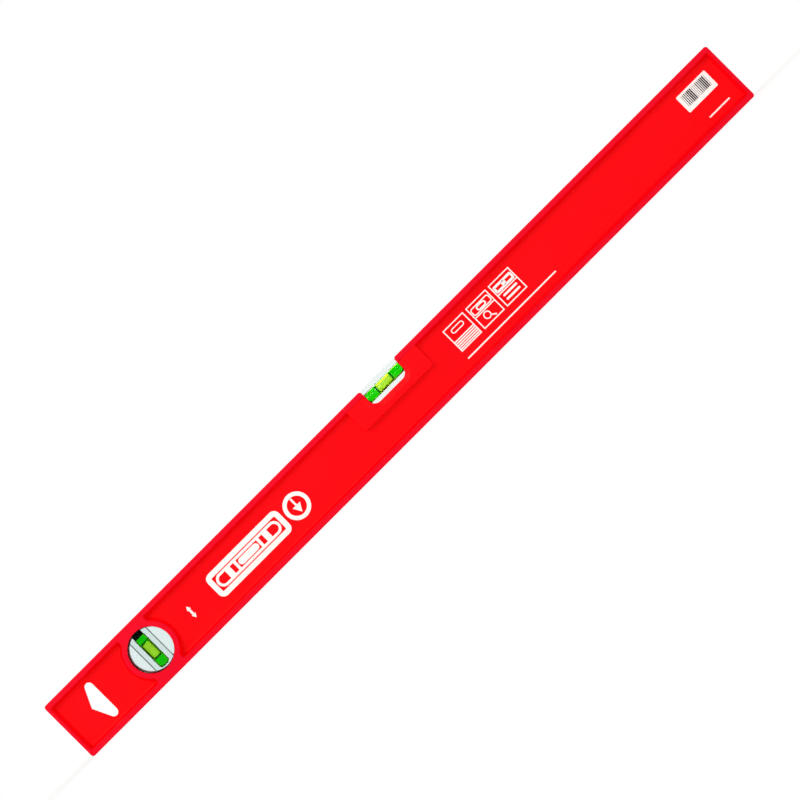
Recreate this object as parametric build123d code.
from build123d import *

import os
from math import atan2, cos, degrees, radians, sin, sqrt

# Spirit level, 700 mm: a one-piece moulded I-beam body with a level vial near the
# middle of its top edge and a plumb vial in a round window near its left end.
#
# Frame, in millimetres: +X runs along the level, away from the plumb window.
# +Z points up from the measuring face, which lies on Z = 0. The printed front
# faces -Y. The origin is the middle of the measuring face.

# ---- body ----
LENGTH = 700.0
HEIGHT = 52.5
THICKNESS = 22.0
RIM = 4.2  # flange thickness where it meets the outer face
END_RIM = 2.8  # end wall thickness at the outer face
WEB = 5.0
WALL_RUN = 2.0  # how far a recess wall leans in between the rim and the web
ROOT_FILLET = 1.0  # between a recess wall and the web
RECESS_CORNER = 1.2
BODY_CORNER = 2.3  # corners of the long outline
OUTER_EDGE = 0.6  # rounding of the outer edges
RIM_EDGE = 0.4  # rounding where a recess opens in the face

# ---- hang hole ----
HANG_FROM_END = 37.7  # its upright side, from the left end
HANG_WIDTH = 13.8
HANG_MARGIN = 2.5  # web left above and below it
HANG_LOBE = 3.7  # radius of its top and bottom
HANG_TIP = 0.8  # radius of its point

# ---- plumb vial unit, front to back ----
PLUMB_FROM_END = 87.3  # its centre, from the left end
PLUMB_BOSS = 21.6  # boss radius at the face
PLUMB_SHOULDER_SIDE = 4.8  # from a flange down to where the boss turns round
WINDOW = 17.7  # radius of the front window
LIP = 2.0  # front lip that the lens seats against
PLUMB_SEAT = 18.8  # radius of the through bore behind the lip
LENS = 1.5  # lens thickness
HOLDER_BACK = 1.4  # rear wall of the round holder
PLUMB_BED = 0.5  # setting glue between the holder and the ring
PLUMB_BED_ARC = 28.0  # degrees that each glue bead spans
PLUMB_BEDS = 3
RING = 2.8  # retaining ring, front to back
RING_WALL = 2.0
RING_SUNK = 0.7  # ring lies this far inside the rear face
PLUMB_BLOCK = 17.4  # block width

# ---- plumb vial, along Z from the window's centre ----
PLUMB_BORE = 9.25  # bore diameter at mid-length
PLUMB_BOTTOM = -15.8
PLUMB_TOP = 12.6
PLUMB_PLUG_TOP = 17.6
PLUMB_PLUG = 8.8  # plug diameter
PLUMB_END_ROUND = 2.6
PLUMB_BUBBLE = 14.4  # bubble length

# ---- level vial ----
LEVEL_AT = 1.9  # its middle, to the right of the body's middle
NOTCH_WIDTH = 35.6
NOTCH_DEPTH = 16.0
NOTCH_CORNER = 6.2  # lower corners
NOTCH_MOUTH = 2.0  # rounding where the notch meets the top face
BOSS_WIDTH = 72.0
BOSS_DEPTH = 24.6  # from the top face down
BOSS_SUNK = 1.0  # boss face below the rim's face
BOSS_CORNER = 3.0
BOSS_EDGE = 0.8
DISH = 4.2  # width of the dished band around the notch
DISH_LAND = 0.6  # wall left at the notch's edge
LEVEL_BLOCK_LENGTH = 50.0
LEVEL_BLOCK = 15.0  # block thickness, front to back
LEVEL_BLOCK_FOOT = 2.0  # block below the bottom of the notch
WING_ROOF = 2.2  # flange left over the block's two ends
LEVEL_BED = 0.8  # setting glue under the block
LEVEL_BED_PAD = (9.0, 10.0)
LEVEL_BED_AT = 16.0  # pad centres, each side of the middle
LEVEL_AXIS = 8.3  # vial axis below the top face
LEVEL_BORE = 8.5  # bore diameter at mid-length
LEVEL_BORE_HALF = 20.4
LEVEL_PLUG = 7.4  # plug diameter
LEVEL_PLUG_SUNK = 0.4  # plug end inside the block's end
LEVEL_BUBBLE = 14.8  # bubble length

# ---- both vials ----
BARREL = 600.0  # radius that each bore is barrelled to along its length
FILM = 0.33  # liquid between the bubble and the bore
BUBBLE_ROUND = 1.6
MARK_GAP = 0.15  # from each end of the centred bubble to the reading ring
MARK_WIDTH = 0.5
MARK_DEPTH = 0.4
BLOCK_EDGE = 0.4

# ---- label ----
LABEL = (29.9, 15.4)
LABEL_THICKNESS = 0.15
LABEL_FROM_END = 28.1  # its centre, from the right end
LABEL_ABOVE_MIDDLE = 6.55
LABEL_CORNER = 1.0

# ---- clearances ----
SLIDE_FIT = 0.1  # blocks in their pockets
CLOSE_FIT = 0.05  # round parts in their seat
TOUCH = 0.02  # plugs, liquid and rings in their bores

# ---- worked out from the sizes above ----
FRONT = -THICKNESS / 2
REAR = THICKNESS / 2
MIDDLE_Z = HEIGHT / 2
LEFT_END = -LENGTH / 2
RIGHT_END = LENGTH / 2
RECESS = (THICKNESS - WEB) / 2
RECESS_HALF = HEIGHT / 2 - RIM
WALL_ANGLE = degrees(atan2(WALL_RUN, RECESS))
WEB_HALF = RECESS_HALF - WALL_RUN - ROOT_FILLET
PLUMB_X = LEFT_END + PLUMB_FROM_END
PLUMB_SHOULDER = sqrt(PLUMB_BOSS**2 - (RECESS_HALF - PLUMB_SHOULDER_SIDE) ** 2)
LENS_FRONT = FRONT + LIP
HOLDER_FRONT = LENS_FRONT + LENS
RING_REAR = REAR - RING_SUNK
RING_FRONT = RING_REAR - RING
HOLDER_REAR = RING_FRONT - PLUMB_BED
PLUMB_BLOCK_REAR = HOLDER_REAR - HOLDER_BACK - CLOSE_FIT
PLUMB_AXIS_Y = (HOLDER_FRONT + PLUMB_BLOCK_REAR) / 2
LEVEL_AXIS_Z = HEIGHT - LEVEL_AXIS
NOTCH_FLOOR = HEIGHT - NOTCH_DEPTH
BOSS_FLOOR = HEIGHT - BOSS_DEPTH
BOSS_FRONT = FRONT + BOSS_SUNK
POCKET_HALF_Y = LEVEL_BLOCK / 2 + SLIDE_FIT
POCKET_FLOOR = NOTCH_FLOOR - LEVEL_BLOCK_FOOT - LEVEL_BED
POCKET_ROOF = HEIGHT - WING_ROOF
COVER_REAR = REAR - BOSS_SUNK
PAST = 5.0  # how far a cutter runs past the face it cuts


def upright(y):
    """A plane facing the front, at depth y, whose axes are X and Z."""
    return Plane(origin=(0, y, 0), x_dir=(1, 0, 0), z_dir=(0, -1, 0))


def prism(outline, front, back):
    """The outline, drawn in X and Z, as a solid from depth front to depth back."""
    return extrude(upright(back) * outline, back - front)


def box_between(low, high):
    """A box from its lowest to its highest corner."""
    size = [b - a for a, b in zip(low, high)]
    middle = [(a + b) / 2 for a, b in zip(low, high)]
    return Pos(*middle) * Box(*size)


def disc(radius, front, back):
    """A disc about the plumb window's axis, from depth front to depth back."""
    return prism(Pos(PLUMB_X, MIDDLE_Z) * Circle(radius), front, back)


# ---------------------------------------------------------------- the vials
# A vial is built along X about the origin, then put in its place.

def bore_radius(bore, x):
    """Radius of a barrelled bore at a distance x from its middle."""
    return bore / 2 - (BARREL - sqrt(BARREL**2 - x**2))


def barrel(bore, start, end, inset=0.0):
    """The inside of a barrelled bore from start to end, less a gap all round."""
    ends = [(x, bore_radius(bore, x) - inset) for x in (start, (start + end) / 2, end)]
    outline = Curve() + [
        ThreePointArc(*ends),
        Line(ends[2], (end, 0)),
        Line((end, 0), (start, 0)),
        Line((start, 0), ends[0]),
    ]
    return revolve(make_face(outline), Axis.X)


def rod(diameter, start, end):
    """A round rod along X."""
    return Pos((start + end) / 2, 0, 0) * Rot(Y=90) * Cylinder(diameter / 2, end - start)


def bubble_shape(bore, length, grown=0.0):
    """The gas bubble: a slug with rounded ends, a film of liquid from the bore."""
    half = length / 2 + grown
    slug = rod(bore - 2 * FILM + 2 * grown, -half, half)
    return fillet(slug.edges().filter_by(GeomType.CIRCLE), BUBBLE_ROUND + grown)


def reading_rings(bore, length, inner_gap, depth):
    """Two rings that mark the ends of the centred bubble, in the bore's wall."""
    near = length / 2 + MARK_GAP
    outside = bore_radius(bore, near) + depth
    rings = rod(2 * outside, near, near + MARK_WIDTH)
    if inner_gap is not None:
        inside = bore_radius(bore, near) + inner_gap
        rings -= rod(2 * inside, near - PAST, near + PAST)
    return rings + mirror(rings, Plane.YZ)


def liquid_shape(bore, start, end, length, end_round=0.0):
    """The liquid each side of the bubble, hollowed to the bubble's ends."""
    fill = barrel(bore, start, end, TOUCH)
    if end_round:
        fill = fillet(fill.edges().sort_by(Axis.X)[0], end_round)
    gap = length / 2 - BUBBLE_ROUND
    fill -= rod(bore + PAST, -gap, gap)
    return fill - bubble_shape(bore, length, grown=TOUCH)


def level_vial(piece):
    return Pos(LEVEL_AT, 0, LEVEL_AXIS_Z) * piece


def plumb_vial(piece):
    return Pos(PLUMB_X, PLUMB_AXIS_Y, MIDDLE_Z) * Rot(Y=-90) * piece


# ---------------------------------------------------------------- the body

def recess():
    """The front recess of the I-beam: two tapered pockets either side of the plumb boss."""
    low = LEFT_END + END_RIM
    high = RIGHT_END - END_RIM
    left_to = PLUMB_X - PLUMB_SHOULDER
    right_from = PLUMB_X + PLUMB_SHOULDER
    pockets = Part()
    for start, stop in ((low, left_to), (right_from, high)):
        outline = Pos((start + stop) / 2, MIDDLE_Z) * Rectangle(stop - start, 2 * RECESS_HALF)
        outline -= Pos(PLUMB_X, MIDDLE_Z) * Circle(PLUMB_BOSS)
        pocket = extrude(upright(FRONT) * outline, -RECESS, taper=WALL_ANGLE)
        corners = [e for e in pocket.edges() if abs(e.center().Y - FRONT - RECESS / 2) < TOUCH]
        pocket = fillet(corners, RECESS_CORNER)
        floor = pocket.faces().sort_by(Axis.Y)[-1]
        pockets += fillet(floor.edges(), ROOT_FILLET)
    return pockets


def hang_hole():
    """A pointed hole through the web: an upright side and a point towards the end."""
    upright_side = LEFT_END + HANG_FROM_END
    reach = WEB_HALF - HANG_MARGIN - HANG_LOBE
    lobes = [Pos(upright_side - HANG_LOBE, s * reach) * Circle(HANG_LOBE) for s in (-1, 1)]
    tip = Pos(upright_side - HANG_WIDTH + HANG_TIP, 0) * Circle(HANG_TIP)
    outline = make_hull([*lobes[0].edges(), *lobes[1].edges(), *tip.edges()])
    return prism(Pos(0, MIDDLE_Z) * outline, -WEB, WEB)


def notch_outline(grown, top):
    """The notch, grown by a band all round, up to the height top."""
    floor = NOTCH_FLOOR - grown
    half = NOTCH_WIDTH / 2 + grown
    outline = Pos(LEVEL_AT, (floor + top) / 2) * Rectangle(2 * half, top - floor)
    lower = outline.vertices().sort_by(Axis.Y)[:2]
    return fillet(lower, NOTCH_CORNER + grown)


def notch_cutter():
    """The notch through the top flange, rounded over where it meets the top face."""
    outline = notch_outline(0, HEIGHT + PAST)
    for side in (-1, 1):
        edge = LEVEL_AT + side * NOTCH_WIDTH / 2
        corner = Pos(edge + side * NOTCH_MOUTH / 2, HEIGHT - NOTCH_MOUTH / 2)
        centre = Pos(edge + side * NOTCH_MOUTH, HEIGHT - NOTCH_MOUTH)
        outline += corner * Rectangle(NOTCH_MOUTH, NOTCH_MOUTH) - centre * Circle(NOTCH_MOUTH)
    return prism(outline, FRONT - PAST, REAR + PAST)


def dish(face, inner):
    """The dished band around the notch, from a face down to the depth inner."""
    top = HEIGHT - RIM
    wide = upright(face) * notch_outline(DISH, top)
    narrow = upright(inner) * notch_outline(0, top)
    return loft([wide.face(), narrow.face()], ruled=True)


def boss_outline():
    """Outline of the boss around the level vial, up into the top flange."""
    outline = Pos(LEVEL_AT, (BOSS_FLOOR + HEIGHT - RIM / 2) / 2) * Rectangle(
        BOSS_WIDTH, HEIGHT - RIM / 2 - BOSS_FLOOR
    )
    lower = outline.vertices().sort_by(Axis.Y)[:2]
    return fillet(lower, BOSS_CORNER)


def level_pocket():
    """Room for the level vial's block, open to the rear."""
    half = LEVEL_BLOCK_LENGTH / 2 + SLIDE_FIT
    low = (LEVEL_AT - half, -POCKET_HALF_Y, POCKET_FLOOR)
    return box_between(low, (LEVEL_AT + half, REAR + PAST, POCKET_ROOF))


def cover_outline(gap=0.0):
    """Outline of the rear cover; the gap takes it off all round."""
    low = BOSS_FLOOR + gap
    high = POCKET_ROOF - gap
    outline = Pos(LEVEL_AT, (low + high) / 2) * Rectangle(BOSS_WIDTH - 2 * gap, high - low)
    lower = outline.vertices().sort_by(Axis.Y)[:2]
    return fillet(lower, BOSS_CORNER - gap)


def make_body():
    outline = Pos(0, MIDDLE_Z) * RectangleRounded(LENGTH, HEIGHT, BODY_CORNER)
    beam = prism(outline, FRONT, REAR)
    beam = fillet(beam.faces().sort_by(Axis.Y)[0].edges(), OUTER_EDGE)
    beam = fillet(beam.faces().sort_by(Axis.Y)[-1].edges(), OUTER_EDGE)
    front_recess = recess()
    beam -= front_recess
    beam -= mirror(front_recess, Plane.XZ)
    rims = [
        e
        for e in beam.edges()
        if abs(abs(e.center().Y) - REAR) < TOUCH
        and abs(e.center().Z - MIDDLE_Z) < RECESS_HALF + TOUCH
        and abs(e.center().X) < LENGTH / 2 - END_RIM + TOUCH
    ]
    beam = fillet(rims, RIM_EDGE)

    boss = prism(boss_outline(), BOSS_FRONT, POCKET_HALF_Y)
    face = boss.faces().sort_by(Axis.Y)[0]
    lower = [e for e in face.edges() if e.center().Z < HEIGHT - RIM]
    beam += fillet(lower, BOSS_EDGE)

    beam -= hang_hole()
    beam -= disc(WINDOW, FRONT - PAST, REAR + PAST)
    beam -= disc(PLUMB_SEAT, LENS_FRONT, REAR + PAST)
    beam -= level_pocket()
    beam -= prism(cover_outline(), POCKET_HALF_Y, REAR + PAST)
    beam -= notch_cutter()
    return beam - dish(BOSS_FRONT, -POCKET_HALF_Y - DISH_LAND)


# ---------------------------------------------------------------- level vial unit

def make_level_block():
    half = LEVEL_BLOCK_LENGTH / 2
    deep = LEVEL_BLOCK / 2
    floor = NOTCH_FLOOR - LEVEL_BLOCK_FOOT
    block = box_between((-half, -deep, floor), (half, deep, POCKET_ROOF - SLIDE_FIT))
    block = fillet(block.edges(), BLOCK_EDGE)
    tower_half = NOTCH_WIDTH / 2 - SLIDE_FIT
    tower = box_between((-tower_half, -deep, floor + PAST), (tower_half, deep, HEIGHT))
    tower = fillet(tower.faces().sort_by(Axis.Z)[-1].edges(), BLOCK_EDGE)
    block = Pos(LEVEL_AT, 0, 0) * (block + tower)
    block -= level_vial(barrel(LEVEL_BORE, -LEVEL_BORE_HALF, LEVEL_BORE_HALF))
    block -= level_vial(rod(LEVEL_PLUG, 0, half + PAST))
    return block - level_vial(reading_rings(LEVEL_BORE, LEVEL_BUBBLE, None, MARK_DEPTH))


def make_level_plug():
    end = LEVEL_BLOCK_LENGTH / 2 - LEVEL_PLUG_SUNK
    return level_vial(rod(LEVEL_PLUG - 2 * TOUCH, LEVEL_BORE_HALF + TOUCH, end))


def make_level_cover():
    cover = prism(cover_outline(SLIDE_FIT), POCKET_HALF_Y, COVER_REAR)
    cover = fillet(cover.faces().sort_by(Axis.Y)[-1].edges(), BOSS_EDGE)
    cover -= prism(notch_outline(0, HEIGHT + PAST), POCKET_HALF_Y - PAST, REAR + PAST)
    return cover - dish(COVER_REAR, POCKET_HALF_Y + DISH_LAND)


def make_level_bedding():
    pad = Box(*LEVEL_BED_PAD, LEVEL_BED - 2 * TOUCH)
    at_z = POCKET_FLOOR + LEVEL_BED / 2
    return Part() + [Pos(LEVEL_AT + s * LEVEL_BED_AT, 0, at_z) * pad for s in (-1, 1)]


# ---------------------------------------------------------------- plumb vial unit

def make_plumb_block():
    round_blank = disc(PLUMB_SEAT - 2 * CLOSE_FIT, HOLDER_FRONT, PLUMB_BLOCK_REAR)
    strip = prism(
        Pos(PLUMB_X, MIDDLE_Z) * Rectangle(PLUMB_BLOCK, HEIGHT), HOLDER_FRONT, PLUMB_BLOCK_REAR
    )
    block = round_blank & strip
    block = fillet(block.edges().filter_by(Axis.Y), BLOCK_EDGE)
    bore = barrel(PLUMB_BORE, PLUMB_BOTTOM, PLUMB_TOP)
    bore = fillet(bore.edges().sort_by(Axis.X)[0], PLUMB_END_ROUND)
    block -= plumb_vial(bore)
    block -= plumb_vial(rod(PLUMB_PLUG, 0, PLUMB_SEAT))
    return block - plumb_vial(reading_rings(PLUMB_BORE, PLUMB_BUBBLE, None, MARK_DEPTH))


def make_plumb_plug():
    return plumb_vial(rod(PLUMB_PLUG - 2 * TOUCH, PLUMB_TOP + TOUCH, PLUMB_PLUG_TOP))


def make_plumb_holder():
    holder = disc(PLUMB_SEAT - CLOSE_FIT, HOLDER_FRONT, HOLDER_REAR)
    slot = Pos(PLUMB_X, MIDDLE_Z) * Rectangle(PLUMB_BLOCK + 2 * CLOSE_FIT, HEIGHT)
    return holder - prism(slot, HOLDER_FRONT - PAST, HOLDER_REAR - HOLDER_BACK)


def make_plumb_lens():
    lens = disc(PLUMB_SEAT - CLOSE_FIT, LENS_FRONT + TOUCH, HOLDER_FRONT - TOUCH)
    return fillet(lens.edges().filter_by(GeomType.CIRCLE), BLOCK_EDGE)


def make_retaining_ring():
    ring = disc(PLUMB_SEAT - CLOSE_FIT, RING_FRONT, RING_REAR)
    ring -= disc(PLUMB_SEAT - RING_WALL, RING_FRONT - PAST, RING_REAR + PAST)
    return fillet(ring.faces().sort_by(Axis.Y)[-1].edges(), BLOCK_EDGE)


def make_plumb_bedding():
    """Short beads of glue on the holder's rear rim, evenly spaced round it."""
    middle = PLUMB_SEAT - CLOSE_FIT - RING_WALL / 2
    width = RING_WALL / 2
    half = radians(PLUMB_BED_ARC / 2)
    outer, inner = middle + width / 2, middle - width / 2
    corners = [(r * sin(a), r * cos(a)) for r in (outer, inner) for a in (-half, half)]
    bead = Curve() + [
        ThreePointArc(corners[0], (0, outer), corners[1]),
        Line(corners[1], corners[3]),
        ThreePointArc(corners[3], (0, inner), corners[2]),
        Line(corners[2], corners[0]),
    ]
    beads = []
    for n in range(PLUMB_BEDS):
        turned = Pos(PLUMB_X, MIDDLE_Z) * Rot(Z=360 / PLUMB_BEDS * n) * make_face(bead)
        beads.append(prism(turned, HOLDER_REAR + TOUCH, RING_FRONT - TOUCH))
    return Part() + beads


def make_label():
    at = Pos(RIGHT_END - LABEL_FROM_END, MIDDLE_Z + LABEL_ABOVE_MIDDLE)
    return prism(at * RectangleRounded(*LABEL, LABEL_CORNER), -WEB / 2 - LABEL_THICKNESS, -WEB / 2)


level_span = (-LEVEL_BORE_HALF, LEVEL_BORE_HALF, LEVEL_BUBBLE)
plumb_span = (PLUMB_BOTTOM, PLUMB_TOP, PLUMB_BUBBLE)

nodes = {
    "body": make_body(),
    "level_vial_block": make_level_block(),
    "level_vial_liquid": level_vial(liquid_shape(LEVEL_BORE, *level_span)),
    "level_vial_bubble": level_vial(bubble_shape(LEVEL_BORE, LEVEL_BUBBLE)),
    "level_vial_rings": level_vial(reading_rings(LEVEL_BORE, LEVEL_BUBBLE, TOUCH, MARK_DEPTH - TOUCH)),
    "level_vial_plug": make_level_plug(),
    "level_vial_cover": make_level_cover(),
    "level_vial_bedding": make_level_bedding(),
    "plumb_front_lens": make_plumb_lens(),
    "plumb_holder": make_plumb_holder(),
    "plumb_vial_block": make_plumb_block(),
    "plumb_vial_liquid": plumb_vial(liquid_shape(PLUMB_BORE, *plumb_span, PLUMB_END_ROUND)),
    "plumb_vial_bubble": plumb_vial(bubble_shape(PLUMB_BORE, PLUMB_BUBBLE)),
    "plumb_vial_rings": plumb_vial(reading_rings(PLUMB_BORE, PLUMB_BUBBLE, TOUCH, MARK_DEPTH - TOUCH)),
    "plumb_vial_plug": make_plumb_plug(),
    "plumb_retaining_ring": make_retaining_ring(),
    "plumb_bedding": make_plumb_bedding(),
    "stock_label": make_label(),
}

os.makedirs("parts", exist_ok=True)
for name, shape in nodes.items():
    export_step(shape, f"parts/{name}.step")
    print(name, round(shape.volume, 1))
